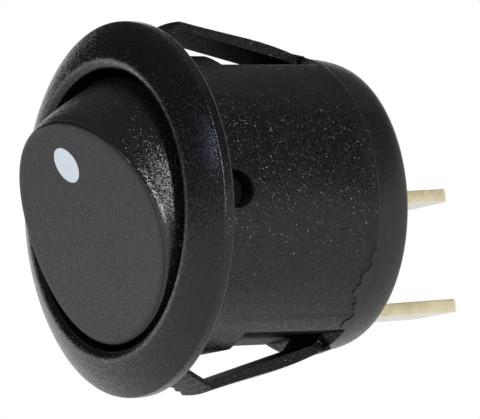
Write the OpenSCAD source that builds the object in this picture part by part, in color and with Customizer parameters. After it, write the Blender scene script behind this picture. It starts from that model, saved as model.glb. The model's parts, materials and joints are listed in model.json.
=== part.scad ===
// Round snap-in panel rocker switch, single pole, with one print dot on the rocker.
// The origin is the centre of the flange's seating face. The front points to -Y, the
// terminals to +Y, and the dot end of the rocker is up. The stored pose is OFF, with the
// dot end standing out.

/* [Bezel] */
// Outer diameter of the flange
bezel_d = 23; // [22:0.1:25]
// Height of the flange's straight edge
rim_t = 0.74; // [0.5:0.02:1]
// Height of the ring's crest in front of the seating face
bezel_h = 2.04; // [1.9:0.02:2.4]
// Rounding of the crest
crest_r = 0.65; // [0.5:0.05:0.8]
// Diameter of the opening that the rocker stands in
lip_d = 17.3; // [17.1:0.1:17.5]

/* [Barrel] */
// Barrel diameter at the flange
barrel_d = 19; // [18.9:0.1:19.4]
// Depth from the seating face to the rear band
barrel_l = 11.88; // [11.6:0.02:12.4]
// Loss of radius over the barrel's depth, so that it leaves its mould
barrel_draft = 0.1; // [0:0.02:0.2]
// Front diameter of the rear band
band_d = 18.46; // [18.3:0.02:18.7]
// Loss of radius from the band's front to the rear face
band_draft = 0.5; // [0.2:0.05:0.7]
// Length of the rear band
band_l = 2.48; // [2.2:0.02:2.8]
// Thickness of the rear wall
rear_t = 1.46; // [1.2:0.02:1.8]
// Wall of the barrel around the contact chamber
barrel_wall = 0.75; // [0.6:0.05:0.9]

/* [Recesses under the snap arms] */
// Depth of the front flat below the top of the barrel
front_flat_t = 0.46; // [0.4:0.02:0.5]
// Length of the front flat
front_flat_l = 4.3; // [4.2:0.1:5]
// Depth of the long flat behind it
flat_t = 1.28; // [1.1:0.02:1.3]
// Wall between the long flat and the contact chamber
flat_wall = 0.75; // [0.6:0.05:0.75]

/* [Snap arms] */
// Diameter over the arms at their ridges, before they are pressed in
arms_d = 23; // [22:0.1:23.4]
// Half width of an arm
arm_w = 1.7; // [1.4:0.1:2.2]
// Thickness of an arm at its side edges, beside the ridge
arm_t = 0.5; // [0.4:0.02:0.6]
// Added thickness of an arm at its root
arm_root_t = 0.12; // [0:0.02:0.3]
// Distance of the arm's ridge behind the seating face
ridge_y = 3.5; // [3:0.1:4]
// Distance of the arm's free end behind the seating face
arm_tip_y = 0.9; // [0.6:0.1:1.2]
// Diameter over the arms at their free ends
arm_tip_d = 19.9; // [19.6:0.1:20.4]
// Number of gripping ribs on each ramp
ribs = 6; // [3:1:8]
// Height of the gripping ribs
rib_h = 0.08; // [0.04:0.01:0.12]

/* [Rocker] */
// Distance of the rocker's axis behind the seating face
pivot_y = 1.45; // [1.4:0.05:1.6]
// Swing of the rocker to either side of its middle position
rock_deg = 16; // [10:0.5:16]
// Radius of the rocker where its tapered side wall would meet the middle of its face
rocker_r = 7.6; // [7.4:0.02:7.6]
// Slope of the tapered side wall
rocker_taper = 13.5; // [12:0.5:14]
// Reach of the rocker's face corners from its axis
corner_r = 9; // [8.8:0.02:9]
// Distance from the axis to the middle of the face
face_s = 4.61; // [4.4:0.01:5]
// Radius of the hollow of the face
face_r = 31; // [28:0.5:60]
// Distance from the skirt's end to the axis
skirt_s = 0.6; // [0.5:0.1:1.4]
// Thickness of the face
face_t = 1.2; // [1:0.1:1.5]
// Thickness of the skirt
skirt_t = 0.9; // [0.7:0.1:1]
// Diameter of the axle pins
pin_d = 2.2; // [1.8:0.1:2.2]
// Radial clearance of an axle pin in its hole
pin_gap = 0.05; // [0.02:0.01:0.08]
// Diameter of the dot
dot_d = 2.3; // [1.6:0.1:3]
// Height of the dot's centre above the middle of the face
dot_z = 4.3; // [3.5:0.1:4.6]
// Depth of the dot's print in the face
dot_t = 0.2; // [0.1:0.05:0.4]

/* [Plunger] */
// Diameter of the plunger
plunger_d = 3; // [2.6:0.1:3.2]
// Distance from the rocker's axis to the centre of the plunger's round tip
plunger_s = 3.2; // [3:0.05:3.25]
// Length of the plunger's straight shank
plunger_l = 3; // [2.4:0.1:3.2]
// Diameter of the spring's seat in the plunger
seat_d = 2; // [1.8:0.1:2.1]
// Radial clearance of the plunger in the rocker's stem
plunger_gap = 0.08; // [0.04:0.01:0.1]
// Wall of the rocker's stem around the plunger
stem_wall = 0.92; // [0.7:0.02:1]
// Travel of the plunger into the stem
plunger_travel = 0.6; // [0.3:0.1:0.8]
// Wire diameter of the spring
wire_d = 0.25; // [0.15:0.05:0.3]
// Number of turns of the spring
turns = 8; // [5:1:9]

/* [Contacts] */
// Distance of the contact lever's axis behind the seating face
lever_y = 7.2; // [7.2:0.05:7.3]
// Swing of the contact lever to either side of its middle position
lever_deg = 10; // [8:0.5:10]
// Length of one arm of the contact lever
lever_l = 5.8; // [5.7:0.1:6]
// Width of the contact lever
lever_w = 3.6; // [3.2:0.1:4]
// Thickness of the contact lever
lever_t = 0.5; // [0.4:0.05:0.55]
// Clearance between the lever and the edge that it rocks on
lever_gap = 0.05; // [0.03:0.01:0.06]
// Distance of the contacts from the lever's axis
contact_z = 4.6; // [4.4:0.1:4.7]
// Diameter of the contacts
contact_d = 2.4; // [2:0.1:2.4]
// Height of each contact
contact_t = 0.5; // [0.4:0.05:0.6]
// Clearance left between the closed contacts
closed_gap = 0.06; // [0.04:0.01:0.1]

/* [Terminals] */
// Width of a terminal blade
blade_w = 4.8; // [4.6:0.1:5]
// Thickness of a terminal blade
blade_t = 0.8; // [0.7:0.1:0.8]
// Length of a blade behind the rear face
blade_l = 7.84; // [6:0.1:10]
// Distance of the load blade below the common blade
blade_pitch = 7; // [6.8:0.1:7.05]
// Cut corners of a blade's tip
tip_cut = 0.45; // [0.2:0.05:0.8]
// Clearance of a blade in its slot
slot_gap = 0.03; // [0.02:0.01:0.06]

/* [Hidden] */
$fn = 96;
over = 0.5;                                     // run-out of every cut
rear_y = barrel_l + band_l;                     // rear face
floor_y = rear_y - rear_t;                      // inner face of the rear wall
blade_tip_y = rear_y + blade_l;
barrel_r = barrel_d/2;
barrel_rear_r = barrel_r - barrel_draft;
band_r = band_d/2;
chamber_r = barrel_r - barrel_wall;
lip_r = lip_d/2;
front_flat_z = barrel_r - front_flat_t;         // height of the front flats
flat_z = barrel_r - flat_t;                     // height of the long flats
chamber_z = flat_z - flat_wall;                 // half height of the contact chamber

// bezel ring: a crest arc, a hollow-free flank arc and a small edge radius
flank_top = 20;                                 // flank slope beside the crest
flank_foot = 40;                                // flank slope beside the rim
lip_wrap = 54;                                  // how far the crest wraps into the opening
edge_r = 0.15;
crest_c = [lip_r + crest_r*sin(lip_wrap), crest_r - bezel_h];
flank_top_p = crest_c + crest_r*[sin(flank_top), -cos(flank_top)];
edge_c_x = bezel_d/2 - edge_r;
flank_foot_x = edge_c_x + edge_r*sin(flank_foot);
flank_r = (flank_foot_x - flank_top_p[0])/(sin(flank_foot) - sin(flank_top));
flank_c = flank_top_p - flank_r*[sin(flank_top), -cos(flank_top)];
edge_c = flank_c + (flank_r - edge_r)*[sin(flank_foot), -cos(flank_foot)];

// trunnions and their bosses
boss_t = 0.55;                                  // wall of a boss around its hole
boss_r = pin_d/2 + pin_gap + boss_t;
boss_x = 7.7;                                   // inner face of a boss
cheek_gap = 0.25;                               // between a cheek of the rocker and a boss
cheek_x = boss_x - cheek_gap;
cheek_t = 1.55;
cheek_r = 2;
cheek_front = -face_s + face_t - 0.3;           // a cheek starts inside the face's wall
pin_x = 8.35;                                   // end of an axle pin
notch_z = 2.7;                                  // half width of the skirt's side notches
notch_s = 2.3;
notch_x = cheek_x - cheek_t - 0.2;

// snap arms
arm_tip_r = arm_tip_d/2;
ridge_r = arms_d/2;
arm_foot_y = barrel_l - 0.7;                    // the sloping back ends here, in front of the root
arm_foot_r = band_r + 0.45;
root_r = band_r + 0.21;                         // the root's pad on the band
root_y = barrel_l + 0.62;
arm_bow = 0.12;                                 // how far the arm's back bows outwards
nose_t = 0.4;                                   // thickness of the arm's free end

// stem, plunger and spring, measured along the stem from the rocker's axis
bore_r = plunger_d/2 + plunger_gap;
stem_r = bore_r + stem_wall;
stem_end_s = plunger_s;
bore_floor_s = -face_s + face_t + 0.5;
stem_front = -face_s + face_t - 0.3;            // the stem starts inside the face's wall
plunger_front_s = plunger_s - plunger_l;
seat_r = seat_d/2;
seat_floor_s = plunger_s - 0.3;
spring_r = seat_r - 0.1 - wire_d/2;             // mean radius of the coil
spring_gap = 0.02;                              // at each end of the spring

// contact lever, flat and centred on its axis when the switch is half way
edge_front_r = blade_t/2;                       // rounded edge that the lever rocks on
lever_back = edge_front_r + lever_gap;          // from the axis to the lever's rear face
lever_front = lever_back + lever_t;
waist_w = 2.6;
waist_l = 1.6;
horn_x = waist_w/2 + 0.15;
horn_y = lever_y - lever_front - 0.4;
lever_end_r = 0.5;
rivet_r = 0.7;                                  // shank of both contacts
rivet_gap = 0.02;
dome_h = 0.15;                                  // height of the bevelled crown of a contact
crown_r = 0.3*contact_d;                        // flat top of the crown
on_tip_y = lever_y + (contact_t - lever_back)*cos(lever_deg)
    + (contact_z + crown_r)*sin(lever_deg);
fixed_face_y = on_tip_y + closed_gap;
shelf_y = fixed_face_y + contact_t;             // front face of the load terminal's shelf
fixed_z = -contact_z*cos(lever_deg);
load_z = -blade_pitch;
shelf_edge = 0.2;                               // the shelf's margin beyond the contact
shelf_top_z = fixed_z + contact_d/2 + shelf_edge;
stop_t = 1;                                     // thickness of the post that the lever leans on
stop_y = lever_y - lever_back*cos(lever_deg) + lever_l*sin(lever_deg) + 0.12;

function arc(c, r, a0, a1, n = 12) =
    [for (i = [0:n]) let (a = a0 + (a1 - a0)*i/n) c + r*[cos(a), sin(a)]];
function lerp(a, b, t) = a + (b - a)*t;

// radius of the rocker's side wall at a distance behind its axis
function taper_r(s) = rocker_r + (s + face_s)*tan(rocker_taper);

// turns a part that was drawn upright so that its axis lies front to back
module front_to_back() { rotate([-90, 0, 0]) children(); }

// a solid of revolution about the switch's axis from [radius, depth] points
module turned(points) { front_to_back() rotate_extrude() polygon(points); }

// a round bar across the switch, centred on x = 0
module cross_bar(r, l, y = 0, z = 0) {
    translate([0, y, z]) rotate([0, 90, 0]) cylinder(r = r, h = l, center = true);
}

// a block given by its lowest and highest corners
module block(a, b) { translate(a) cube(b - a); }

// both the upper and the lower copy of a feature
module top_and_bottom() {
    children();
    mirror([0, 0, 1]) children();
}

// both the left and the right copy of a feature
module left_and_right() {
    children();
    mirror([1, 0, 0]) children();
}

// moves a piece from the rocker's own middle position to the stored OFF position
module rocked() {
    translate([0, pivot_y, 0]) rotate([rock_deg, 0, 0]) children();
}

// moves a piece from the lever's own middle position to the stored OFF position
module levered() {
    translate([0, lever_y, 0]) rotate([-lever_deg, 0, 0]) children();
}

// ---- housing -------------------------------------------------------------------------

// bezel ring, barrel and rear band in one turned outline
module housing_outline() {
    crest = arc(crest_c, crest_r, -90 - lip_wrap, -90 + flank_top);
    flank = arc(flank_c, flank_r, -90 + flank_top, -90 + flank_foot, 10);
    edge = arc(edge_c, edge_r, -90 + flank_foot, 0, 4);
    rear = [for (i = [0:6]) let (a = 90*i/6)
        [band_r - band_draft + band_draft*cos(a), lerp(barrel_l, rear_y, sin(a))]];
    turned(concat([[0, crest[0][1]]], crest, flank, edge, [[bezel_d/2, 0], [barrel_r, 0],
        [barrel_rear_r, barrel_l]], rear, [[0, rear_y]]));
}

// room for the rocker, with the wider contact chamber behind it
module chamber() {
    wide_y = pivot_y;                           // the room widens from the lip to the chamber
    deep_y = front_flat_l - flat_wall;          // from here the room lies between the long flats
    intersection() {
        turned([[0, -bezel_h - over], [lip_r, -bezel_h - over], [lip_r, wide_y],
            [chamber_r, wide_y + 0.3], [chamber_r, floor_y], [0, floor_y]]);
        union() {
            block([-barrel_r, -bezel_h - over, -lip_r], [barrel_r, deep_y, lip_r]);
            block([-barrel_r, -bezel_h, -chamber_z], [barrel_r, rear_y, chamber_z]);
        }
    }
}

// the shallow front flat and the long flat that an arm lies over
module arm_flats() {
    block([-barrel_r, front_flat_l, flat_z], [barrel_r, barrel_l, barrel_r + over]);
    block([-barrel_r, 0, front_flat_z], [barrel_r, front_flat_l + over, barrel_r + over]);
}

// the arm's outer outline from its free end to the band, as [radius, depth] points
function arm_back() = concat(
    [for (i = [0:2*ribs]) let (t = i/(2*ribs))
        lerp([arm_tip_r, arm_tip_y], [ridge_r, ridge_y], t) + (i % 2 == 1 ? [-rib_h, rib_h] : [0, 0])],
    [for (i = [1:6]) let (t = i/6)
        lerp([ridge_r, ridge_y], [arm_foot_r, arm_foot_y], t) + [arm_bow*sin(180*t*t), 0]],
    [[root_r + 0.1, barrel_l - 0.35], [root_r, barrel_l + 0.15], [root_r - 0.08, root_y],
        [band_r - band_draft/2, root_y + 0.1]]);

// one springy arm: turned outside, flat inside and cut to width
module snap_arm() {
    ridge_z = sqrt(ridge_r*ridge_r - arm_w*arm_w) - arm_t;
    foot_z = sqrt(arm_foot_r*arm_foot_r - arm_w*arm_w) - arm_t - arm_root_t;
    tip_z = sqrt(arm_tip_r*arm_tip_r - arm_w*arm_w) - nose_t;
    under = [[arm_tip_y, tip_z], [ridge_y - 0.2, ridge_z], [arm_foot_y, foot_z],
        [barrel_l - 0.15, flat_z + 0.15], [barrel_l, flat_z - 0.1], [root_y + over, flat_z - 0.1]];
    intersection() {
        turned(concat([[0, arm_tip_y]], arm_back(), [[0, root_y + 0.1]]));
        translate([-arm_w, 0, 0]) rotate([90, 0, 90]) linear_extrude(2*arm_w)
            polygon(concat(under, [[root_y + over, arms_d], [arm_tip_y, arms_d]]));
    }
}

// boss that carries one axle pin, with a rib back to the rear wall
module boss() {
    intersection() {
        union() {
            cross_bar(boss_r, 2*barrel_r, pivot_y);
            block([-barrel_r, pivot_y, -boss_r], [barrel_r, floor_y + over, boss_r]);
        }
        difference() {
            front_to_back() translate([0, 0, pivot_y - boss_r])
                cylinder(r = chamber_r + barrel_wall/2, h = rear_y);
            block([-boss_x, -bezel_h, -boss_r*2], [boss_x, rear_y, boss_r*2]);
        }
    }
}

// post on the rear wall that the resting end of the contact lever leans on
module lever_stop() {
    top = lever_l - 0.2;
    block([-lever_w/2 + 0.3, stop_y, top - stop_t], [lever_w/2 - 0.3, floor_y + over, top]);
}

module blade_slot(z) {
    g = slot_gap;
    block([-blade_w/2 - g, floor_y - over, z - blade_t/2 - g],
        [blade_w/2 + g, rear_y + over, z + blade_t/2 + g]);
}

module housing() {
    color("#1d1e20") difference() {
        union() {
            difference() {
                housing_outline();
                chamber();
                top_and_bottom() arm_flats();
            }
            top_and_bottom() snap_arm();
            boss();
            lever_stop();
        }
        cross_bar(pin_d/2 + pin_gap, 2*barrel_r + over, pivot_y);
        blade_slot(0);
        blade_slot(load_z);
    }
}

// ---- rocker and what it carries --------------------------------------------------------
// These are drawn about the rocker's axis, with the face towards -Y.

module face_cylinder(depth) { cross_bar(face_r + depth, 2*corner_r + over, -face_s - face_r); }

// the tapered body with its hollow face, or the same form inset by a wall
module rocker_form(wall, front, rear) {
    far = -corner_r;
    difference() {
        intersection() {
            turned([[0, far], [taper_r(far) - wall, far], [taper_r(rear) - wall, rear], [0, rear]]);
            sphere(r = corner_r - wall);
        }
        face_cylinder(front);
    }
}

module dot_shape(depth) {
    intersection() {
        front_to_back() translate([0, -dot_z, -corner_r]) cylinder(d = dot_d, h = corner_r);
        difference() {
            face_cylinder(depth);
            face_cylinder(0);
        }
    }
}

// side wall that carries one axle pin
module cheek() {
    block([cheek_x - cheek_t, cheek_front, -cheek_r], [cheek_x, 0, cheek_r]);
    translate([cheek_x - cheek_t, 0, 0]) rotate([0, 90, 0]) cylinder(r = cheek_r, h = cheek_t);
    translate([cheek_x - over, 0, 0]) rotate([0, 90, 0])
        cylinder(r = pin_d/2, h = pin_x - cheek_x + over);
}

module rocker() {
    color("#2a2a2c") rocked() difference() {
        union() {
            difference() {
                rocker_form(0, 0, -skirt_s);
                rocker_form(skirt_t, face_t, over);
                left_and_right()
                    block([notch_x, -notch_s, -notch_z], [corner_r, over, notch_z]);
            }
            left_and_right() cheek();
            front_to_back() translate([0, 0, stem_front])
                cylinder(r = stem_r, h = stem_end_s - stem_front);
        }
        front_to_back() translate([0, 0, bore_floor_s])
            cylinder(r = bore_r, h = stem_end_s - bore_floor_s + over);
        dot_shape(dot_t);
    }
}

module on_dot() { color("#d5dbe0") rocked() dot_shape(dot_t); }

module plunger() {
    color("#d8d4c4") rocked() front_to_back() difference() {
        union() {
            translate([0, 0, plunger_front_s]) cylinder(d = plunger_d, h = plunger_l);
            translate([0, 0, plunger_s]) sphere(d = plunger_d);
        }
        translate([0, 0, plunger_front_s - over])
            cylinder(r = seat_r, h = seat_floor_s - plunger_front_s + over);
    }
}

// points of one ring of the wire, square to the coil's path closely enough for a fine pitch
function wire_ring(t, rise, n) =
    [for (i = [0:n - 1]) let (a = 360*i/n, r = spring_r + wire_d/2*cos(a))
        [r*cos(360*t), r*sin(360*t), rise + wire_d/2*sin(a)]];

module plunger_spring() {
    steps = 16;                                 // rings in one turn
    sides = 8;
    low = bore_floor_s + wire_d/2 + spring_gap;
    high = seat_floor_s - wire_d/2 - spring_gap;
    last = turns*steps;
    close = wire_d*1.04;                        // pitch of the closed end turns
    // the first and last turns lie closed, and the others share the rest
    rise = [for (i = [0:last]) let (t = i/steps)
        low + close*min(t, 1) + close*max(t - turns + 1, 0)
        + (high - low - 2*close)*min(max(t - 1, 0), turns - 2)/(turns - 2)];
    points = [for (i = [0:last]) each wire_ring(i/steps, rise[i], sides)];
    skin = [for (i = [0:last - 1], j = [0:sides - 1]) let (k = (j + 1) % sides)
        [i*sides + j, i*sides + k, (i + 1)*sides + k, (i + 1)*sides + j]];
    ends = [[for (j = [sides - 1:-1:0]) j], [for (j = [0:sides - 1]) last*sides + j]];
    color("silver") rocked() front_to_back() polyhedron(points, concat(skin, ends), convexity = 10);
}

// ---- contact lever -----------------------------------------------------------------------
// It is drawn about its own axis, flat across the switch.

module contact_lever() {
    x = lever_w/2;
    color("#c9a15a") levered() difference() {
        block([-x, -lever_front, -lever_l], [x, -lever_back, lever_l]);
        left_and_right() block([waist_w/2, -lever_front - over, -waist_l/2],
            [x + over, -lever_back + over, waist_l/2]);
        left_and_right() top_and_bottom() translate([x, -lever_front - over, lever_l])
            rotate([0, 45, 0]) translate([-lever_end_r, 0, -lever_end_r])
                cube([2*lever_end_r, lever_t + 2*over, 2*lever_end_r]);
        translate([0, 0, -contact_z]) front_to_back() translate([0, 0, -lever_front - over])
            cylinder(r = rivet_r + rivet_gap, h = lever_t + 2*over);
    }
}

// contact rivet, head towards +Z, its underside at 0, with a flush shank below
module contact(shank) {
    cylinder(d = contact_d, h = contact_t - dome_h);
    translate([0, 0, contact_t - dome_h]) cylinder(d1 = contact_d, d2 = 2*crown_r, h = dome_h);
    translate([0, 0, -shank]) cylinder(r = rivet_r, h = shank + contact_t/2);
}

module moving_contact() {
    color("#e4e4e0") levered() translate([0, -lever_back, -contact_z])
        front_to_back() contact(lever_t);
}

// ---- terminals -----------------------------------------------------------------------------

// flat blade from depth y0 to its tip, with cut corners
module blade(y0, z) {
    x = blade_w/2;
    translate([0, 0, z - blade_t/2]) linear_extrude(blade_t) polygon([[-x, y0], [x, y0],
        [x, blade_tip_y - tip_cut], [x - tip_cut, blade_tip_y],
        [tip_cut - x, blade_tip_y], [-x, blade_tip_y - tip_cut]]);
}

module common_terminal() {
    color("#d8cfae") {
        blade(lever_y, 0);
        cross_bar(edge_front_r, waist_w, lever_y);
        left_and_right() block([horn_x, horn_y, -blade_t/2], [blade_w/2, lever_y + over, blade_t/2]);
    }
}

module load_terminal() {
    color("#d8cfae") difference() {
        union() {
            blade(shelf_y, load_z);
            block([-blade_w/2, shelf_y, load_z - blade_t/2],
                [blade_w/2, shelf_y + blade_t, shelf_top_z]);
        }
        translate([0, 0, fixed_z]) front_to_back() translate([0, 0, shelf_y - over])
            cylinder(r = rivet_r + rivet_gap, h = blade_t + 2*over);
    }
}

module fixed_contact() {
    color("#e4e4e0") translate([0, shelf_y, fixed_z]) rotate([90, 0, 0]) contact(blade_t);
}

housing();
rocker();
on_dot();
plunger();
plunger_spring();
contact_lever();
moving_contact();
common_terminal();
load_terminal();
fixed_contact();
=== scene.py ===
import json
import math

import bpy
from mathutils import Matrix, Vector


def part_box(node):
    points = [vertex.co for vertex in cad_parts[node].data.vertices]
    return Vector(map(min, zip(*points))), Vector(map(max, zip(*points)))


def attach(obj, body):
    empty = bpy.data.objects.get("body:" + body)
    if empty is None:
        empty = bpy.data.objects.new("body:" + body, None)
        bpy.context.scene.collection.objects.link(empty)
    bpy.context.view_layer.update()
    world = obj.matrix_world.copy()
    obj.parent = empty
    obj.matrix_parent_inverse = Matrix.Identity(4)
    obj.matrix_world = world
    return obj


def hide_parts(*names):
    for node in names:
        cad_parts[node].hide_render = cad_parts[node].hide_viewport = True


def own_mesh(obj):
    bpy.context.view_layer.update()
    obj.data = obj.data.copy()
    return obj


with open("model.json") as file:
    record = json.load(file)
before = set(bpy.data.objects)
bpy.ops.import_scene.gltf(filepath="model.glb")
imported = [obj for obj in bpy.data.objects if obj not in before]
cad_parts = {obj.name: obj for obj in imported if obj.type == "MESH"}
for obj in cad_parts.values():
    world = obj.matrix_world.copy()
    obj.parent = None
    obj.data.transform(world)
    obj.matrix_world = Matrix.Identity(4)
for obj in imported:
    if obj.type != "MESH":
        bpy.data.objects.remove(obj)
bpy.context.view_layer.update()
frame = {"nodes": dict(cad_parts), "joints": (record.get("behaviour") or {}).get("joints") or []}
nodes = frame["nodes"]

# ---- Camera ---------------------------------------------------------------------------
# It looks at the switch's front quarter from the right and a little below, from far
# enough away for a nearly flat view. Its own right and up directions give its aim.
MM = 0.001
CAMERA_AWAY = 270.5 * MM
LENS, SENSOR_W = 332.1, 36.0
SIDE_SHIFT = 0.22333
camera_data = bpy.data.cameras.new("camera")
camera_data.lens = LENS
camera_data.sensor_width = SENSOR_W
camera_data.clip_start = 0.01
camera_data.shift_x = SIDE_SHIFT
camera = bpy.data.objects.new("camera", camera_data)
right = Vector((0.5229, 0.8483, -0.0837))
up = Vector((0.1306, 0.0173, 0.9913))
back = right.cross(up)
rotation = Matrix((right, up, back)).transposed()
camera.matrix_world = Matrix.Translation(back * CAMERA_AWAY) @ rotation.to_4x4()
bpy.context.collection.objects.link(camera)
bpy.context.scene.camera = camera

# ---- Floor, lamps and white surroundings ------------------------------------------------
# A pale table lies below the camera, so that the switch is seen a little from underneath.
# A tall narrow panel stands on the right, soft ones above and low on the left, and a small
# bluish one in front. All around it is white, and so is the table in reflections.
FLOOR_SIZE, FLOOR_Z = 6, -40 * MM


def paint(material, color, roughness):
    """Gives a material's shader a plain colour and roughness, and returns the shader."""
    material.use_nodes = True
    shader = material.node_tree.nodes["Principled BSDF"]
    shader.inputs["Base Color"].default_value = (*color, 1)
    shader.inputs["Roughness"].default_value = roughness
    return shader


def wire(tree, start, end):
    tree.links.new(start, end)


def lamp_panel(name, place, width, height, watts, color=(1, 1, 1)):
    """A soft light with its own width and height that faces the switch."""
    data = bpy.data.lights.new(name, "AREA")
    data.shape = "RECTANGLE"
    data.size = width
    data.size_y = height
    data.energy = watts
    data.color = color
    panel = bpy.data.objects.new(name, data)
    panel.location = place
    panel.visible_camera = False
    panel.rotation_euler = Vector(place).to_track_quat("Z", "Y").to_euler()
    bpy.context.collection.objects.link(panel)


bpy.ops.mesh.primitive_plane_add(size=FLOOR_SIZE, location=(0, 0, FLOOR_Z))
floor = bpy.context.active_object
floor.name = "floor"
floor_paint = bpy.data.materials.new("pale_floor")
paint(floor_paint, (0.92, 0.92, 0.92), 0.7)
floor.data.materials.append(floor_paint)
floor_tree = floor_paint.node_tree
floor_path = floor_tree.nodes.new("ShaderNodeLightPath")
in_reflections = floor_tree.nodes.new("ShaderNodeMath")
in_reflections.operation = "MAXIMUM"
white = floor_tree.nodes.new("ShaderNodeEmission")
floor_mix = floor_tree.nodes.new("ShaderNodeMixShader")
wire(floor_tree, floor_path.outputs["Is Glossy Ray"], in_reflections.inputs[0])
wire(floor_tree, floor_path.outputs["Is Transmission Ray"], in_reflections.inputs[1])
wire(floor_tree, in_reflections.outputs[0], floor_mix.inputs[0])
wire(floor_tree, floor_tree.nodes["Principled BSDF"].outputs[0], floor_mix.inputs[1])
wire(floor_tree, white.outputs[0], floor_mix.inputs[2])
wire(floor_tree, floor_mix.outputs[0], floor_tree.nodes["Material Output"].inputs["Surface"])

lamp_panel("key_panel", (0.35, -0.015, 0.095), 0.04, 0.36, 1.1)
lamp_panel("top_panel", (-0.05, 0.05, 0.45), 0.70, 0.70, 0.25, (1, 0.92, 0.82))
lamp_panel("low_panel", (-0.36, -0.24, 0.03), 0.50, 0.14, 0.28, (0.94, 0.96, 1))
lamp_panel("spark_panel", (0.14, -0.40, 0.16), 0.04, 0.04, 0.14, (0.72, 0.82, 1))

# The camera and glass see plain white. Gloss sees it too, but for the dim side of the room,
# above and in front of the switch. Other rays get a level that keeps colours true.
AMBIENT, DIM, WALL = 0.62, 0.03, 1.0
DIM_SIDE = (0.25, -0.45, 0.85)
FADE_START, FADE_END = -0.15, 0.1
world = bpy.data.worlds.new("white_surroundings")
world.use_nodes = True
sky = world.node_tree
background = sky.nodes["Background"]
background.inputs["Color"].default_value = (1, 1, 1, 1)
path = sky.nodes.new("ShaderNodeLightPath")
compass = sky.nodes.new("ShaderNodeVectorMath")
compass.operation = "DOT_PRODUCT"
compass.inputs[1].default_value = DIM_SIDE
wire(sky, sky.nodes.new("ShaderNodeTexCoord").outputs["Generated"], compass.inputs[0])
fade = sky.nodes.new("ShaderNodeMapRange")
fade.inputs["From Min"].default_value = FADE_START
fade.inputs["From Max"].default_value = FADE_END
fade.inputs["To Min"].default_value = WALL
fade.inputs["To Max"].default_value = DIM
wire(sky, compass.outputs["Value"], fade.inputs["Value"])


def blend_level(share, low, high):
    """A strength between two others, where each is a socket or a number."""
    node = sky.nodes.new("ShaderNodeMix")
    for value, socket in ((share, node.inputs[0]), (low, node.inputs[2]), (high, node.inputs[3])):
        if isinstance(value, bpy.types.NodeSocket):
            wire(sky, value, socket)
        else:
            socket.default_value = value
    return node.outputs[0]


strength = blend_level(path.outputs["Is Glossy Ray"], AMBIENT, fade.outputs[0])
strength = blend_level(path.outputs["Is Transmission Ray"], strength, 1)
strength = blend_level(path.outputs["Is Camera Ray"], strength, 1)
wire(sky, strength, background.inputs["Strength"])
bpy.context.scene.world = world
bpy.context.scene.view_settings.view_transform = "Standard"

# ---- Housing ------------------------------------------------------------------------------
# One moulding of black glass-filled nylon: a crowned bezel, a barrel with two long flats, a
# rear band and two snap arms over the flats. The mould's grain shows on the barrel, and the
# place for markings on each side is coarser and stays bare.


def box_mm(node):
    """A node's box in millimetres, in which each piece is made before it is brought to metres."""
    low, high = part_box(node)
    return low / MM, high / MM


bezel_low, bezel_high = box_mm("housing")
BEZEL_R = bezel_high.x
CREST_H = -bezel_low.y
REAR_Y = bezel_high.y
RIM_EDGE_R = 0.22
CREST_R = 0.65
LIP_R = 8.65
FLANK_TOP, FLANK_FOOT, LIP_WRAP = 20, 40, 54
BARREL_R, BARREL_DRAFT, BARREL_L = 9.5, 0.1, 11.88
BAND_R, BAND_DRAFT, BAND_STEP = 9.23, 0.5, 0.03
FOOT_R, HEEL_R = 0.12, 0.2
REAR_T = 1.46
MOUTH_Y = 3.55
PARTING_R = 0.1
BURR_H, BURR_START, BURR_TOP = 0.02, 0.26, 0.19
ROUND_STEPS, POLE_R = 224, 0.2


def deselect():
    for obj in bpy.context.selected_objects:
        obj.select_set(False)


def make_active(obj):
    deselect()
    obj.select_set(True)
    bpy.context.view_layer.objects.active = obj


def face_outwards():
    """Turns all faces of the piece in edit mode outwards, and leaves edit mode."""
    bpy.ops.mesh.select_all(action="SELECT")
    bpy.ops.mesh.normals_make_consistent(inside=False)
    bpy.ops.object.mode_set(mode="OBJECT")


def arc(center, radius, start, end, steps):
    """Points of an arc, each a radius and a depth, with its angles in degrees."""
    angles = [math.radians(start + (end - start) * i / steps) for i in range(steps + 1)]
    return [(center[0] + radius * math.cos(a), center[1] + radius * math.sin(a)) for a in angles]


def turned(name, outline, steps=ROUND_STEPS):
    """A solid of revolution about Y from (radius, depth) points, closed at both ends."""
    deselect()
    radius, depth = outline[0]
    bpy.ops.mesh.primitive_circle_add(vertices=steps, radius=radius, fill_type="NGON",
                                      location=(0, depth, 0), rotation=(math.pi / 2, 0, 0))
    obj = bpy.context.active_object
    obj.name = name
    bpy.ops.object.transform_apply()
    bpy.ops.object.mode_set(mode="EDIT")
    bpy.ops.mesh.select_all(action="SELECT")
    for next_radius, next_depth in outline[1:]:
        share = next_radius / radius
        bpy.ops.mesh.extrude_region_move()
        bpy.ops.transform.translate(value=(0, next_depth - depth, 0))
        bpy.ops.transform.resize(value=(share, 1, share), center_override=(0, next_depth, 0))
        radius, depth = next_radius, next_depth
    face_outwards()
    return obj


def block(name, low, high):
    """A box between two corners, used as a cutter or as the start of a piece."""
    deselect()
    middle = [(a + b) / 2 for a, b in zip(low, high)]
    bpy.ops.mesh.primitive_cube_add(size=1, location=middle,
                                    scale=[b - a for a, b in zip(low, high)])
    obj = bpy.context.active_object
    obj.name = name
    bpy.ops.object.transform_apply()
    return obj


def round_bar(name, radius, low, high, axis, steps=64):
    """A cylinder along X or Y between two end centres that differ on that axis alone."""
    deselect()
    turn = (0, math.pi / 2, 0) if axis == "X" else (math.pi / 2, 0, 0)
    middle = [(a + b) / 2 for a, b in zip(low, high)]
    length = max(abs(b - a) for a, b in zip(low, high))
    bpy.ops.mesh.primitive_cylinder_add(vertices=steps, radius=radius, depth=length,
                                        location=middle, rotation=turn)
    obj = bpy.context.active_object
    obj.name = name
    bpy.ops.object.transform_apply()
    return obj


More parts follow.
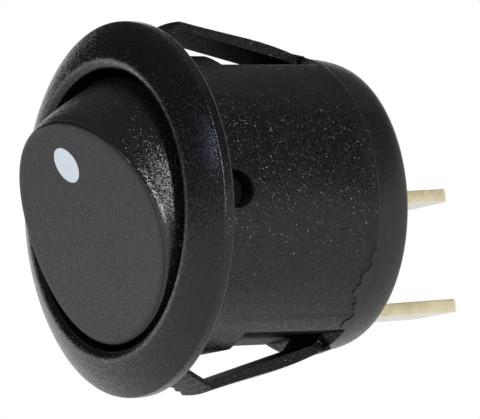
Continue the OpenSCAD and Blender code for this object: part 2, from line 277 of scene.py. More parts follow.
def prism(name, outline, low_x, high_x):
    """A prism along X whose outline is a list of (depth, height) points."""
    deselect()
    bpy.ops.mesh.primitive_circle_add(vertices=len(outline), radius=1, fill_type="NGON")
    obj = bpy.context.active_object
    obj.name = name
    for vertex, (depth, height) in zip(obj.data.vertices, outline):
        vertex.co = (low_x, depth, height)
    bpy.ops.object.mode_set(mode="EDIT")
    bpy.ops.mesh.select_all(action="SELECT")
    bpy.ops.mesh.extrude_region_move(TRANSFORM_OT_translate={"value": (high_x - low_x, 0, 0)})
    face_outwards()
    return obj


HAIR = 0.001


def carve(obj, tool, operation="DIFFERENCE"):
    """Cuts obj with a tool piece, or joins or intersects the two, and removes the tool."""
    make_active(obj)
    modifier = obj.modifiers.new("carve", "BOOLEAN")
    modifier.operation = operation
    modifier.solver = "EXACT"
    modifier.object = tool
    bpy.ops.object.modifier_apply(modifier=modifier.name)
    bpy.data.objects.remove(tool)
    bpy.ops.object.mode_set(mode="EDIT")
    bpy.ops.mesh.select_all(action="SELECT")
    bpy.ops.mesh.remove_doubles(threshold=HAIR)
    bpy.ops.mesh.dissolve_degenerate(threshold=HAIR)
    bpy.ops.object.mode_set(mode="OBJECT")


def mirrored(tool):
    """A copy of a piece on the other side of the level middle plane."""
    make_active(tool)
    bpy.ops.object.duplicate()
    copy = bpy.context.active_object
    bpy.ops.transform.mirror(constraint_axis=(False, False, True), center_override=(0, 0, 0))
    bpy.ops.object.transform_apply()
    bpy.ops.object.mode_set(mode="EDIT")
    face_outwards()
    return copy


def finish_shape(obj, degrees):
    """Brings a piece to metres and smooths its shading, save at edges sharper than an angle."""
    make_active(obj)
    obj.scale = (MM, MM, MM)
    bpy.ops.object.transform_apply()
    bpy.ops.object.shade_smooth_by_angle(angle=math.radians(degrees))


def bezel_outline():
    """The ring from the lip in the opening over the crest and the flank to the seat."""
    def slope(degrees):
        return Vector((math.sin(math.radians(degrees)), -math.cos(math.radians(degrees))))

    crest = Vector((LIP_R + CREST_R * math.sin(math.radians(LIP_WRAP)), CREST_R - CREST_H))
    top = crest + CREST_R * slope(FLANK_TOP)
    edge_x = BEZEL_R - RIM_EDGE_R
    foot_x = edge_x + RIM_EDGE_R * math.sin(math.radians(FLANK_FOOT))
    flank_r = (foot_x - top.x) / (slope(FLANK_FOOT).x - slope(FLANK_TOP).x)
    flank = top - flank_r * slope(FLANK_TOP)
    edge = flank + (flank_r - RIM_EDGE_R) * slope(FLANK_FOOT)
    rear = (edge_x, -RIM_EDGE_R)
    return (arc(crest, CREST_R, -90 - LIP_WRAP, -90 + FLANK_TOP, 14)
            + arc(flank, flank_r, -90 + FLANK_TOP, -90 + FLANK_FOOT, 10)[1:]
            + arc(edge, RIM_EDGE_R, -90 + FLANK_FOOT, 0, 5)[1:]
            + arc(rear, RIM_EDGE_R, 0, 90, 5))


def barrel_outline():
    """The barrel with the parting line at its end, and the band that closes the rear."""
    foot = arc((BARREL_R + FOOT_R, FOOT_R), FOOT_R, 270, 180, 3)
    end_r = BARREL_R - BARREL_DRAFT
    burr = [(end_r, BARREL_L - BURR_START), (end_r + BURR_H, BARREL_L - BURR_TOP)]
    end = arc((end_r - PARTING_R, BARREL_L - PARTING_R), PARTING_R, 0, 90, 4)
    steps, band_l = 12, REAR_Y - BARREL_L
    band = [(BAND_R - BAND_DRAFT + BAND_DRAFT * math.cos(a), BARREL_L + band_l * math.sin(a))
            for a in [math.radians(90 * i / steps) for i in range(1, steps - 1)]]
    heel = arc((BAND_R - BAND_DRAFT - HEEL_R, REAR_Y - HEEL_R), HEEL_R, 12, 90, 4)
    return (foot + burr + end + [(BAND_R - BAND_STEP, BARREL_L)] + band + heel
            + [(POLE_R, REAR_Y)])


housing = turned("switch_housing", [(POLE_R, MOUTH_Y), (LIP_R, MOUTH_Y)]
                 + bezel_outline() + barrel_outline())

# the chamber behind the mouth, between the two long flats
CHAMBER_R, CHAMBER_Z, MOUTH_R = 8.75, 7.47, 8.6
WIDE_Y, WIDE_L = 1.45, 0.3
FLOOR_Y = REAR_Y - REAR_T
chamber = turned("chamber_cutter", [(MOUTH_R, WIDE_Y), (CHAMBER_R, WIDE_Y + WIDE_L),
                                    (CHAMBER_R, FLOOR_Y)])
reach = block("chamber_reach", (-BEZEL_R, 0, -CHAMBER_Z), (BEZEL_R, REAR_Y, CHAMBER_Z))
carve(chamber, reach, "INTERSECT")
carve(housing, chamber)

# the shallow front flat and the long flat behind it, above and below
FRONT_FLAT_Z, FRONT_FLAT_L = 9.04, 4.3
FLAT_Z = 8.22
SEAT_FOOT = 0.06
FLAT_END = BARREL_L - 0.02
OVERLAP, CLEAR = 0.1, 1
for side in (1, -1):
    far = side * (BARREL_R + CLEAR)
    spans = ((SEAT_FOOT, FRONT_FLAT_L + OVERLAP, FRONT_FLAT_Z), (FRONT_FLAT_L, FLAT_END, FLAT_Z))
    for start, end, height in spans:
        low_z, high_z = sorted((side * height, far))
        carve(housing, block("flat_cutter", (-BARREL_R, start, low_z), (BARREL_R, end, high_z)))

# the place for markings on each side stands a hair proud, as the mould's insert leaves it
PATCH_Z, PATCH_START, PATCH_END, PATCH_H = 6.0, 0.3, 10.9, 0.04
PATCH_ROOT_R, PATCH_CORE_R = BARREL_R - 0.5, BARREL_R - 0.45
patch = turned("marking_patch", [(PATCH_ROOT_R, PATCH_START),
                                 (BARREL_R + PATCH_H, PATCH_START),
                                 (BARREL_R - BARREL_DRAFT + PATCH_H, PATCH_END),
                                 (PATCH_ROOT_R, PATCH_END)])
carve(patch, round_bar("patch_core", PATCH_CORE_R, (0, 0, 0), (0, BARREL_L, 0), "Y", 128))
patch_reach = block("patch_reach", (-BEZEL_R, 0, -PATCH_Z), (BEZEL_R, BARREL_L, PATCH_Z))
carve(patch, patch_reach, "INTERSECT")
carve(housing, patch, "UNION")

# a thin skin of plastic that crept out of the mould's joint, low on each side of the barrel,
# with a ragged front edge: each wave has a height, a pace and a start
SKIN_H, SKIN_ROOT, SKIN_STEPS = 0.05, 0.15, 45
SKIN_L, SKIN_LEAST_L, SKIN_END = 0.62, 0.12, 0.04
SKIN_FROM, SKIN_TO = math.radians(-23), math.radians(-60)
SKIN_TIP, SKIN_TIP_CUT = 0.08, 0.45
SKIN_WAVES = ((0.30, 9.5, 0.4), (0.13, 31, 2), (0.06, 83, 0))
for side in (1, -1):
    deselect()
    bpy.ops.mesh.primitive_grid_add(x_subdivisions=SKIN_STEPS, y_subdivisions=1, size=2)
    skin = bpy.context.active_object
    skin.name = "mould_skin"
    bpy.ops.object.mode_set(mode="EDIT")
    bpy.ops.mesh.extrude_region_move(TRANSFORM_OT_translate={"value": (0, 0, 1)})
    bpy.ops.object.mode_set(mode="OBJECT")
    for vertex in skin.data.vertices:
        share = (vertex.co.x + 1) / 2
        angle = SKIN_FROM + share * (SKIN_TO - SKIN_FROM)
        ragged = sum(high * math.sin(pace * share + start) for high, pace, start in SKIN_WAVES)
        tip = SKIN_TIP_CUT * max(0, SKIN_TIP - share) / SKIN_TIP
        front = min(BARREL_L - SKIN_L + ragged + tip, BARREL_L - SKIN_LEAST_L)
        depth = BARREL_L - SKIN_END if vertex.co.y > 0 else front
        radius = BARREL_R - BARREL_DRAFT + (SKIN_H if vertex.co.z > 0.5 else -SKIN_ROOT)
        vertex.co = (side * radius * math.cos(angle), depth, radius * math.sin(angle))
    make_active(skin)
    bpy.ops.object.mode_set(mode="EDIT")
    face_outwards()
    carve(housing, skin, "UNION")

# a snap arm: ribbed ramp, ridge, long sloping back and a root pad on the band
ARM_W = 1.7
ARM_EDGE_T, ARM_ROOT_T, NOSE_T = 0.5, 0.12, 0.4
ARM_TIP = Vector((9.95, 0.9))
RIDGE = Vector((11.5, 3.5))
ARM_FOOT = Vector((9.68, 11.18))
ARM_BOW, BACK_STEPS = 0.12, 8
ROOT_R, ROOT_Y = 9.44, 12.5
RIBS, RIB_H = 6, 0.08
ramp = [ARM_TIP.lerp(RIDGE, i / (2 * RIBS)) + (i % 2) * Vector((-RIB_H, RIB_H))
        for i in range(2 * RIBS + 1)]
slope_back = []
for i in range(1, BACK_STEPS + 1):
    share = i / BACK_STEPS
    bow = Vector((ARM_BOW * math.sin(math.pi * share ** 2), 0))
    slope_back.append(RIDGE.lerp(ARM_FOOT, share) + bow)
root_pad = [(ROOT_R + 0.1, BARREL_L - 0.35), (ROOT_R, BARREL_L + 0.15),
            (ROOT_R - 0.08, ROOT_Y), (BAND_R - BAND_DRAFT / 2, ROOT_Y + 0.1)]
arm_back = [tuple(p) for p in ramp + slope_back] + root_pad


def arm_under(point, thickness):
    """Height of the arm's flat underside below a point of its curved back."""
    return math.sqrt(point[0] ** 2 - ARM_W ** 2) - thickness


# the cutter follows the arm's underside into the band, and closes well above the arm
ROOT_SINK = 0.13
under = [(ARM_TIP.y, arm_under(ARM_TIP, NOSE_T)),
         (RIDGE.y - 0.2, arm_under(RIDGE, ARM_EDGE_T)),
         (ARM_FOOT.y, arm_under(ARM_FOOT, ARM_EDGE_T + ARM_ROOT_T)),
         (BARREL_L - 0.15, FLAT_Z + 0.15),
         (BARREL_L + 0.06, FLAT_Z - ROOT_SINK), (ROOT_Y + 0.5, FLAT_Z - ROOT_SINK),
         (ROOT_Y + 0.5, BEZEL_R + CLEAR), (ARM_TIP.y, BEZEL_R + CLEAR)]
arm = turned("snap_arm", [(POLE_R, ARM_TIP.y)] + arm_back + [(POLE_R, ROOT_Y + OVERLAP)])
carve(arm, prism("arm_cutter", under, -ARM_W, ARM_W), "INTERSECT")
lower_arm = mirrored(arm)
carve(housing, arm, "UNION")
carve(housing, lower_arm, "UNION")

# bosses for the axle pins, the post that the contact lever leans on, and the two blade slots
PIVOT_Y = 1.45
PIN_HOLE_R, BOSS_R, BOSS_X = 1.15, 1.7, 7.7
BOSS_REACH, RIB_W, POST_END = CHAMBER_R + 0.3, BOSS_R - 0.02, FLOOR_Y + 0.2
for side in (1, -1):
    low_x, high_x = sorted((side * BOSS_X, side * BOSS_REACH))
    boss = round_bar("boss", BOSS_R, (low_x, PIVOT_Y, 0), (high_x, PIVOT_Y, 0), "X")
    carve(boss, block("boss_rib", (low_x, PIVOT_Y, -RIB_W), (high_x, POST_END, RIB_W)), "UNION")
    boss_reach = round_bar("boss_reach", BOSS_REACH, (0, 0, 0), (0, REAR_Y, 0), "Y", 128)
    carve(boss, boss_reach, "INTERSECT")
    carve(housing, boss, "UNION")
POST_W, POST_Y, POST_LOW, POST_HIGH = 1.5, 7.89, 4.6, 5.6
carve(housing, block("lever_post", (-POST_W, POST_Y, POST_LOW), (POST_W, POST_END, POST_HIGH)),
      "UNION")
carve(housing, round_bar("pin_hole", PIN_HOLE_R, (-BEZEL_R, PIVOT_Y, 0), (BEZEL_R, PIVOT_Y, 0), "X"))
RIM_DEEP, RIM_WIDE = 0.18, 0.16
for side in (1, -1):
    deselect()
    bpy.ops.mesh.primitive_cone_add(vertices=64, radius1=PIN_HOLE_R - RIM_WIDE,
                                    radius2=PIN_HOLE_R + 2 * RIM_WIDE, depth=3 * RIM_DEEP,
                                    location=(side * BARREL_R, PIVOT_Y, 0),
                                    rotation=(0, side * math.pi / 2, 0))
    rim = bpy.context.active_object
    rim.name = "hole_rim"
    carve(housing, rim)
SLOT_W, SLOT_T, LOAD_Z = 2.43, 0.43, -7
for height in (0, LOAD_Z):
    carve(housing, block("slot_cutter", (-SLOT_W, FLOOR_Y - CLEAR, height - SLOT_T),
                         (SLOT_W, REAR_Y + CLEAR, height + SLOT_T)))
finish_shape(housing, 32)
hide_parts("housing")
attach(housing, "base")


def group_socket(group, name, way, kind, value=None):
    socket = group.interface.new_socket(name=name, in_out=way, socket_type=kind)
    if value is not None:
        socket.default_value = value


def moulded_grain():
    """The texture that a spark-eroded mould leaves: fine facets, each tilted its own way."""
    group = bpy.data.node_groups.new("moulded_grain", "ShaderNodeTree")
    group_socket(group, "Grains per metre", "INPUT", "NodeSocketFloat", 14000)
    group_socket(group, "Tilt", "INPUT", "NodeSocketFloat", 0.5)
    group_socket(group, "Normal", "OUTPUT", "NodeSocketVector")
    for name in ("Grain", "Cloud"):
        group_socket(group, name, "OUTPUT", "NodeSocketFloat")
    clouds_per_m, rare = 260, 3
    make = group.nodes.new
    given, result = make("NodeGroupInput"), make("NodeGroupOutput")
    place = make("ShaderNodeTexCoord").outputs["Object"]
    facets = make("ShaderNodeTexVoronoi")
    clouds = make("ShaderNodeTexNoise")
    clouds.inputs["Scale"].default_value = clouds_per_m
    clouds.inputs["Detail"].default_value = 3
    for node in (facets, clouds):
        wire(group, place, node.inputs["Vector"])
    wire(group, given.outputs["Grains per metre"], facets.inputs["Scale"])
    spread = make("ShaderNodeVectorMath")
    spread.operation = "SUBTRACT"
    spread.inputs[1].default_value = (0.5, 0.5, 0.5)
    wire(group, facets.outputs["Color"], spread.inputs[0])
    size = make("ShaderNodeVectorMath")
    size.operation = "LENGTH"
    wire(group, spread.outputs[0], size.inputs[0])
    rarity = make("ShaderNodeMath")
    rarity.operation = "POWER"
    rarity.inputs[1].default_value = rare
    wire(group, size.outputs["Value"], rarity.inputs[0])
    reach = make("ShaderNodeMath")
    reach.operation = "MULTIPLY"
    wire(group, rarity.outputs[0], reach.inputs[0])
    wire(group, given.outputs["Tilt"], reach.inputs[1])
    tilt = make("ShaderNodeVectorMath")
    tilt.operation = "SCALE"
    wire(group, spread.outputs[0], tilt.inputs[0])
    wire(group, reach.outputs[0], tilt.inputs["Scale"])
    lean = make("ShaderNodeVectorMath")
    lean.operation = "ADD"
    wire(group, tilt.outputs[0], lean.inputs[0])
    wire(group, make("ShaderNodeNewGeometry").outputs["Normal"], lean.inputs[1])
    normal = make("ShaderNodeVectorMath")
    normal.operation = "NORMALIZE"
    wire(group, lean.outputs[0], normal.inputs[0])
    split = make("ShaderNodeSeparateColor")
    wire(group, facets.outputs["Color"], split.inputs[0])
    wire(group, normal.outputs[0], result.inputs["Normal"])
    wire(group, split.outputs[0], result.inputs["Grain"])
    wire(group, clouds.outputs["Fac"], result.inputs["Cloud"])
    return group


MOULDED_GRAIN = moulded_grain()


def ranged(tree, source, low, high):
    """A value from 0 to 1 brought to another range."""
    node = tree.nodes.new("ShaderNodeMapRange")
    node.inputs["To Min"].default_value = low
    node.inputs["To Max"].default_value = high
    wire(tree, source, node.inputs["Value"])
    return node.outputs["Result"]


def mixed(tree, share, first, second):
    """A colour between two others, which are sockets or plain colours."""
    node = tree.nodes.new("ShaderNodeMix")
    node.data_type = "RGBA"
    for value, socket in ((share, node.inputs[0]), (first, node.inputs[6]), (second, node.inputs[7])):
        if isinstance(value, bpy.types.NodeSocket):
            wire(tree, value, socket)
        elif isinstance(value, tuple):
            socket.default_value = (*value, 1)
        else:
            socket.default_value = value
    return node.outputs[2]


def moulded_plastic(name, dark, light, roughness, gloss, grains, tilt):
    """Moulded plastic with the grain of its mould, in two close shades that mix in clouds."""
    material = bpy.data.materials.new(name)
    shader = paint(material, dark, roughness)
    tree = material.node_tree
    shader.inputs["Specular IOR Level"].default_value = gloss
    grain = tree.nodes.new("ShaderNodeGroup")
    grain.node_tree = MOULDED_GRAIN
    grain.inputs["Grains per metre"].default_value = grains
    grain.inputs["Tilt"].default_value = tilt
    wire(tree, mixed(tree, grain.outputs["Cloud"], dark, light), shader.inputs["Base Color"])
    wire(tree, ranged(tree, grain.outputs["Grain"], roughness - 0.08, roughness + 0.08),
         shader.inputs["Roughness"])
    wire(tree, grain.outputs["Normal"], shader.inputs["Normal"])
    return material


bezel_finish = moulded_plastic("bezel_plastic", (0.003, 0.003, 0.0038), (0.006, 0.006, 0.0075),
                               0.22, 0.38, 20000, 1.6)
barrel_finish = moulded_plastic("housing_plastic", (0.004, 0.0038, 0.0033),
                                (0.008, 0.0075, 0.0065), 0.28, 0.28, 20000, 2.0)
patch_finish = moulded_plastic("marking_patch_plastic", (0.003, 0.003, 0.0033),
                               (0.006, 0.006, 0.0065), 0.22, 0.30, 19000, 2.9)
band_finish = moulded_plastic("band_plastic", (0.005, 0.0048, 0.0042), (0.008, 0.0075, 0.0066),
                              0.34, 0.40, 20000, 0.8)
# painted shade: a darker colour and almost no gloss, for the flats and the arms' inner faces
dull_shaded_arm_finish = moulded_plastic("dull_arm_plastic_painted_shade", (0.003, 0.003, 0.0028), (0.006, 0.0056, 0.005),
                             0.50, 0.03, 20000, 1.0)

# the flats and the inner faces of the arms are duller than the barrel, and have painted shade: a
# darker colour and almost no gloss, for the shade under the arms
housing.data.materials.clear()
for finish in (barrel_finish, patch_finish, band_finish, bezel_finish, dull_shaded_arm_finish):
    housing.data.materials.append(finish)
BARREL_FACE, PATCH_FACE, BAND_FACE, BEZEL_FACE, DULL_SHADED_ARM_FACE = range(5)
NEAR, SKIN_TOP_Z = 0.01, -2
for face in housing.data.polygons:
    x, y, z = face.center / MM
    above = math.hypot(x, z) - BARREL_R + BARREL_DRAFT
    on_patch = above > NEAR and abs(z) < PATCH_Z and PATCH_START < y < PATCH_END
    on_skin = above > SKIN_H * 0.7 and z < SKIN_TOP_Z and PATCH_END < y < BARREL_L
    under_arm = abs(x) < ARM_W + NEAR and abs(z) > FRONT_FLAT_Z - NEAR and face.normal.z * z < 0
    on_flat = abs(face.normal.z) > 0.99 and abs(z) > FLAT_Z - NEAR
    if y < 0:
        face.material_index = BEZEL_FACE
    elif y > BARREL_L or on_skin:
        face.material_index = BAND_FACE
    elif on_patch:
        face.material_index = PATCH_FACE
    # the flats and the arms' inner faces lie in shade under the arms and get the finish with painted
    # shade
    elif y > SEAT_FOOT and (under_arm or on_flat):
        face.material_index = DULL_SHADED_ARM_FACE
    else:
        face.material_index = BARREL_FACE

# ---- Rocker ---------------------------------------------------------------------------------
# One moulding of black nylon with a hollow satin face, a coarse-grained tapered wall and two
# axle pins. It is pressed into the housing until the pins snap into their holes.
ROCK = math.radians(16)
FACE_S, FACE_R = 4.61, 31
RIM_R, TAPER_TURN = 7.6, 13.5
EDGE_TURN = math.radians(TAPER_TURN)
CORNER_R = 9
FACE_EDGE_R = 0.34
SKIRT_S, SKIRT_T, FACE_T = 0.6, 0.9, 1.2


def taper_r(s):
    """Radius of the straight taper at a depth s, measured back from the axle."""
    return RIM_R + (s + FACE_S) * math.tan(EDGE_TURN)


def soft_least(a, b, blend=1.0):
    """The lesser of two sizes, with the crease between them rounded."""
    overlap = max(blend - abs(a - b), 0)
    return min(a, b) - overlap * overlap / (4 * blend)


def hollow(height):
    """How far the face stands out in front of its middle at a height above it."""
    return FACE_R - math.sqrt(FACE_R ** 2 - height ** 2)


def wall_r(s):
    """Radius of the side wall, which follows the lesser of the taper and a ball."""
    return soft_least(taper_r(s), math.sqrt(CORNER_R ** 2 - s ** 2))


def hollow_face(obj, edge_end):
    """Bends the flat front of a turned piece into the hollow, and fits its edge and wall to suit."""
    edge_rise = FACE_EDGE_R * (1 - math.cos(EDGE_TURN))
    for vertex in obj.data.vertices:
        x, s, z = vertex.co
        radius = math.hypot(x, z)
        drop = hollow((RIM_R - FACE_EDGE_R) * z / radius)
        start_r = wall_r(edge_end - drop) + edge_rise - FACE_EDGE_R
        drop = hollow(start_r * z / radius)
        if s < -FACE_S + HAIR / 10:
            share = start_r / (RIM_R - FACE_EDGE_R)
            vertex.co = (x * share, s - hollow(z * share), z * share)
        elif s < edge_end + HAIR:
            share = (radius + start_r + FACE_EDGE_R - RIM_R) / radius
            vertex.co = (x * share, s - drop, z * share)
        elif s < -SKIRT_S - HAIR and radius > taper_r(s) - SKIRT_T / 2:
            s -= drop * (-SKIRT_S - s) / (FACE_S - SKIRT_S)
            share = wall_r(s) / radius
            vertex.co = (x * share, s, z * share)


def rock_into_place(obj):
    """Takes a piece that was made about the rocker's own axis to its place with the dot end out."""
    make_active(obj)
    obj.rotation_euler = (ROCK, 0, 0)
    obj.location = (0, PIVOT_Y, 0)
    bpy.ops.object.transform_apply()


edge_center = (RIM_R - FACE_EDGE_R, -FACE_S + FACE_EDGE_R)
edge_end = -FACE_S + FACE_EDGE_R * (1 - math.sin(EDGE_TURN))
face_rings = [(r, -FACE_S) for r in (POLE_R, 1, 1.8, 2.6, 3.4, 4.2, 5, 5.8, 6.4, 6.9)]
edge_rings = arc(edge_center, FACE_EDGE_R, -90, -TAPER_TURN, 7)
WALL_START, WALL_STEP, WALL_RINGS = -4.15, 0.25, 14
wall_s = [WALL_START + WALL_STEP * i for i in range(WALL_RINGS)] + [-SKIRT_S]
wall_rings = [(taper_r(s), s) for s in wall_s]
inside_s = -FACE_S + FACE_T
inside_rings = [(taper_r(-SKIRT_S) - SKIRT_T, -SKIRT_S), (taper_r(inside_s) - SKIRT_T, inside_s),
                (POLE_R, inside_s)]
rocker = turned("rocker_button", face_rings + edge_rings + wall_rings + inside_rings)
hollow_face(rocker, edge_end)

# notches in the skirt, and the cheeks that carry the axle pins
CHEEK_X, CHEEK_T, CHEEK_R = 7.45, 1.55, 2
NOTCH_Z, NOTCH_S = 2.7, 2.3
PIN_R, PIN_END_X = 1.1, 8.35
CHEEK_FRONT = inside_s - 0.3
for side in (1, -1):
    low_x, high_x = sorted((side * (CHEEK_X - CHEEK_T - 0.2), side * CORNER_R))
    carve(rocker, block("notch_cutter", (low_x, -NOTCH_S, -NOTCH_Z), (high_x, CLEAR / 2, NOTCH_Z)))
    low_x, high_x = sorted((side * (CHEEK_X - CHEEK_T), side * CHEEK_X))
    carve(rocker, block("cheek", (low_x, CHEEK_FRONT, -CHEEK_R), (high_x, 0, CHEEK_R)), "UNION")
    carve(rocker, round_bar("cheek_end", CHEEK_R, (low_x, 0, 0), (high_x, 0, 0), "X"), "UNION")
    low_x, high_x = sorted((side * (CHEEK_X - 0.5), side * PIN_END_X))
    carve(rocker, round_bar("axle_pin", PIN_R, (low_x, 0, 0), (high_x, 0, 0), "X"), "UNION")

# the stem that guides the plunger
BORE_R, STEM_R, STEM_END, BORE_START = 1.58, 2.5, 3.2, inside_s + 0.5
carve(rocker, round_bar("stem", STEM_R, (0, CHEEK_FRONT, 0), (0, STEM_END, 0), "Y"), "UNION")
carve(rocker, round_bar("stem_bore", BORE_R, (0, BORE_START, 0), (0, STEM_END + CLEAR / 2, 0), "Y"))
rocker_face = moulded_plastic("rocker_face_plastic", (0.016, 0.0158, 0.0150),
                              (0.0205, 0.020, 0.019), 0.46, 0.27, 20000, 0.9)
rocker_side = moulded_plastic("rocker_plastic", (0.004, 0.004, 0.0035), (0.008, 0.0075, 0.0068),
                              0.22, 0.40, 20000, 3.4)
rocker_edge = moulded_plastic("rocker_edge_plastic", (0.005, 0.005, 0.005),
                              (0.009, 0.009, 0.009), 0.20, 0.6, 20000, 0.9)
works_side = moulded_plastic("rocker_works_plastic", (0.003, 0.003, 0.003),
                             (0.005, 0.005, 0.005), 0.4, 0.10, 15000, 1.0)
rocker.data.materials.clear()
for finish in (rocker_side, rocker_face, works_side, rocker_edge):
    rocker.data.materials.append(finish)
SIDE_FACE, FRONT_FACE, WORKS_FACE, EDGE_FACE = range(4)
FRONT_DEEP, EDGE_DEEP, FACING = 0.25, 0.4, -0.85
for face in rocker.data.polygons:
    x, s, z = face.center
    behind = s + FACE_S + hollow(z)
    within = math.hypot(x, z) < wall_r(s) - 0.4 and s > inside_s - 0.5
    if behind < FRONT_DEEP and face.normal.y < FACING:
        face.material_index = FRONT_FACE
    elif behind < EDGE_DEEP:
        face.material_index = EDGE_FACE
    elif s > -SKIRT_S or within:
        face.material_index = WORKS_FACE
    else:
        face.material_index = SIDE_FACE
rock_into_place(rocker)
finish_shape(rocker, 32)
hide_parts("rocker")
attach(rocker, "button")

# ---- Dot --------------------------------------------------------------------------------------
# A round spot of bluish white ink, pad printed near the end of the face that stands out when
# the switch is off. Its edge is soft, and its top stands a hair proud of the face.
DOT_R, DOT_Z, DOT_T = 1.15, 4.3, 0.2
PROUD, INK_EDGE_R, DOT_POLE_R = 0.012, 0.03, 0.05
dot_edge = arc((DOT_R - INK_EDGE_R, INK_EDGE_R - PROUD), INK_EDGE_R, -90, 0, 4)
dot = turned("white_dot", [(r, -PROUD) for r in (DOT_POLE_R, 0.4, 0.8)] + dot_edge
             + [(DOT_R, DOT_T), (DOT_POLE_R, DOT_T)], 96)
make_active(dot)
dot.location = (0, -FACE_S, DOT_Z)
bpy.ops.object.transform_apply()
for vertex in dot.data.vertices:
    vertex.co.y -= hollow(vertex.co.z)
rock_into_place(dot)
finish_shape(dot, 40)
ink = moulded_plastic("dot_ink", (0.68, 0.76, 0.83), (0.74, 0.81, 0.87), 0.5, 0.4, 9000, 0.4)
dot.data.materials.clear()
dot.data.materials.append(ink)
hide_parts("on_dot")
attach(dot, "button")

# ---- Terminals ----------------------------------------------------------------------------------
# Two tab terminals, stamped from tin-plated brass strip and pressed into slots of the rear
# wall. The broad faces are plated, the sheared edges show bare brass, and behind the wall
# the tabs rise a very little.
blade_low, blade_high = box_mm("common_terminal")
BLADE_W, BLADE_TIP_Y = blade_high.x, blade_high.y
BLADE_T = 0.4
TIP_CUT = 0.45
SHEAR_R, SHEAR_STEPS = 0.07, 3
TAB_RISE = math.tan(math.radians(1.7))
LEVER_Y = 7.2


def shear_edges(obj):
    """Rounds every sharp edge of a stamped piece a little."""
    make_active(obj)
    modifier = obj.modifiers.new("shear", "BEVEL")
    modifier.width = SHEAR_R
    modifier.segments = SHEAR_STEPS
    modifier.limit_method = "ANGLE"
    modifier.angle_limit = math.radians(40)
    bpy.ops.object.modifier_apply(modifier=modifier.name)


def blade(name, start_y, height):
    """A flat tab with cut corners at its tip, bent up very slightly behind the rear wall."""
    piece = block(name, (-BLADE_W, start_y, height - BLADE_T),
                  (BLADE_W, BLADE_TIP_Y, height + BLADE_T))
    make_active(piece)
    bpy.ops.object.mode_set(mode="EDIT")
    bpy.ops.mesh.select_all(action="DESELECT")
    bpy.ops.mesh.select_mode(type="EDGE")
    bpy.ops.object.mode_set(mode="OBJECT")
    vertices = piece.data.vertices
    for edge in piece.data.edges:
        a, b = (vertices[i].co for i in edge.vertices)
        edge.select = abs(a.x - b.x) < HAIR and min(a.y, b.y) > BLADE_TIP_Y - HAIR
    bpy.ops.object.mode_set(mode="EDIT")
    bpy.ops.mesh.bevel(offset=TIP_CUT, segments=1)
    bpy.ops.mesh.select_all(action="SELECT")
    bpy.ops.mesh.bisect(plane_co=(0, REAR_Y, 0), plane_no=(0, 1, 0))
    bpy.ops.object.mode_set(mode="OBJECT")
    for vertex in piece.data.vertices:
        vertex.co.z += TAB_RISE * max(0, vertex.co.y - REAR_Y)
    return piece


common = blade("common_tab", LEVER_Y, 0)
shear_edges(common)
WAIST, WAIST_GAP, HORN_Y, HORN_END = 1.3, 0.15, blade_low.y, LEVER_Y + 0.5
carve(common, round_bar("rocking_edge", BLADE_T, (-WAIST, LEVER_Y, 0), (WAIST, LEVER_Y, 0), "X"),
      "UNION")
for side in (1, -1):
    low_x, high_x = sorted((side * (WAIST + WAIST_GAP), side * BLADE_W))
    carve(common, block("horn", (low_x, HORN_Y, -BLADE_T), (high_x, HORN_END, BLADE_T)), "UNION")

shelf_low, shelf_high = box_mm("load_terminal")
load = blade("load_tab", shelf_low.y, LOAD_Z)
shear_edges(load)
carve(load, block("shelf", (-BLADE_W, shelf_low.y, LOAD_Z - BLADE_T),
                  (BLADE_W, shelf_low.y + 2 * BLADE_T, shelf_high.z)), "UNION")
RIVET_Z, RIVET_R = -4.53, 0.72
carve(load, round_bar("rivet_hole", RIVET_R, (0, shelf_low.y - CLEAR, RIVET_Z),
                      (0, shelf_low.y + CLEAR, RIVET_Z), "Y"))


def rolled_grain():
    """The texture of rolled or drawn metal: fine lines along the strip, and soft stains."""
    lines_per_m, stains_per_m = 4000, 500
    group = bpy.data.node_groups.new("rolled_grain", "ShaderNodeTree")
    group_socket(group, "Stretch", "INPUT", "NodeSocketVector", (1, 1, 1))
    for name in ("Lines", "Stains"):
        group_socket(group, name, "OUTPUT", "NodeSocketFloat")
    make = group.nodes.new
    given, result = make("NodeGroupInput"), make("NodeGroupOutput")
    place = make("ShaderNodeTexCoord").outputs["Object"]
    stretch = make("ShaderNodeMapping")
    wire(group, place, stretch.inputs["Vector"])
    wire(group, given.outputs["Stretch"], stretch.inputs["Scale"])
    lines, stains = make("ShaderNodeTexNoise"), make("ShaderNodeTexNoise")
    for noise, count in ((lines, lines_per_m), (stains, stains_per_m)):
        noise.inputs["Scale"].default_value = count
        noise.inputs["Detail"].default_value = 4
    wire(group, stretch.outputs[0], lines.inputs["Vector"])
    wire(group, place, stains.inputs["Vector"])
    wire(group, lines.outputs["Fac"], result.inputs["Lines"])
    wire(group, stains.outputs["Fac"], result.inputs["Stains"])
    return group


ROLLED_GRAIN = rolled_grain()
LINE_DEEP = 0.01 * MM


def rolled_metal(name, dark, light, roughness, metallic, grain_along):
    """Strip or wire metal, where the lines make the gloss uneven and the stains its colour."""
    material = bpy.data.materials.new(name)
    shader = paint(material, light, roughness)
    shader.inputs["Metallic"].default_value = metallic
    tree = material.node_tree
    grain = tree.nodes.new("ShaderNodeGroup")
    grain.node_tree = ROLLED_GRAIN
    grain.inputs["Stretch"].default_value = grain_along
    wire(tree, mixed(tree, grain.outputs["Stains"], dark, light), shader.inputs["Base Color"])
    wire(tree, ranged(tree, grain.outputs["Lines"], roughness - 0.1, roughness + 0.12),
         shader.inputs["Roughness"])
    bump = tree.nodes.new("ShaderNodeBump")
    bump.inputs["Distance"].default_value = LINE_DEEP
    wire(tree, grain.outputs["Lines"], bump.inputs["Height"])
    wire(tree, bump.outputs["Normal"], shader.inputs["Normal"])
    return material


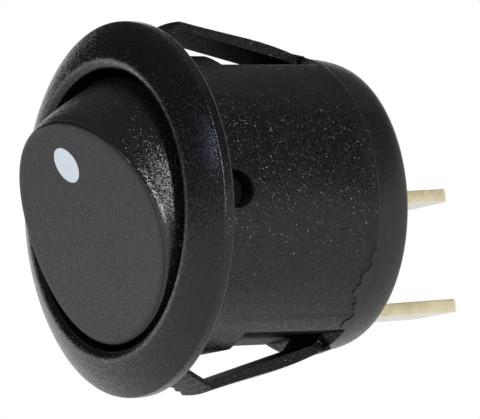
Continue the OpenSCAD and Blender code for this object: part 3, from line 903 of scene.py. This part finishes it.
plated = rolled_metal("tinned_strip", (0.62, 0.59, 0.52), (0.82, 0.80, 0.73), 0.36, 0.85,
                      (1, 0.1, 1))
sheared = rolled_metal("sheared_brass", (0.34, 0.27, 0.13), (1.0, 0.92, 0.66), 0.45, 0.7,
                       (1, 0.5, 0.3))
PLATED_FACE, SHEARED_FACE = range(2)
for tab, slot_node in ((common, "common_terminal"), (load, "load_terminal")):
    tab.data.materials.clear()
    tab.data.materials.append(plated)
    tab.data.materials.append(sheared)
    for face in tab.data.polygons:
        face.material_index = PLATED_FACE if abs(face.normal.z) > 0.6 else SHEARED_FACE
    finish_shape(tab, 30)
    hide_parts(slot_node)
    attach(tab, "base")

# ---- Works inside ---------------------------------------------------------------------------------
# A natural acetal plunger and a steel spring in the rocker's stem, a brass contact lever and
# two silver contact rivets. The housing hides them, so they keep their built shapes, and
# only the spring is a copy, whose front end along the plunger's slide is found; the real spring
# shortens as the plunger slides in.
acetal = moulded_plastic("natural_acetal", (0.66, 0.63, 0.54), (0.74, 0.71, 0.62),
                         0.4, 0.45, 9000, 0.4)
steel = rolled_metal("drawn_steel", (0.42, 0.42, 0.43), (0.58, 0.58, 0.6), 0.32, 1, (1, 1, 1))
brass = rolled_metal("spring_brass", (0.56, 0.38, 0.16), (0.74, 0.54, 0.26), 0.34, 1, (1, 1, 0.1))
silver = rolled_metal("contact_silver", (0.74, 0.74, 0.72), (0.86, 0.86, 0.84), 0.3, 1, (1, 1, 1))
finishes = {"plunger": acetal, "plunger_spring": steel, "contact_lever": brass,
            "moving_contact": silver, "fixed_contact": silver}
for name, finish in finishes.items():
    nodes[name].data.materials.clear()
    nodes[name].data.materials.append(finish)

coil = bpy.data.objects.new("coil_spring", nodes["plunger_spring"].data.copy())
bpy.context.collection.objects.link(coil)
make_active(coil)
bpy.ops.object.mode_set(mode="EDIT")
bpy.ops.mesh.select_all(action="SELECT")
bpy.ops.mesh.remove_doubles(threshold=HAIR * MM / 10)
bpy.ops.object.mode_set(mode="OBJECT")
bpy.ops.object.shade_smooth()
slide = next(joint for joint in frame["joints"] if joint["name"] == "plunger_slide")
inward = Vector(slide["axis"])
front_end = max((vertex.co for vertex in coil.data.vertices), key=inward.dot).copy()
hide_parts("plunger_spring")
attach(coil, "button")
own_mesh(coil)
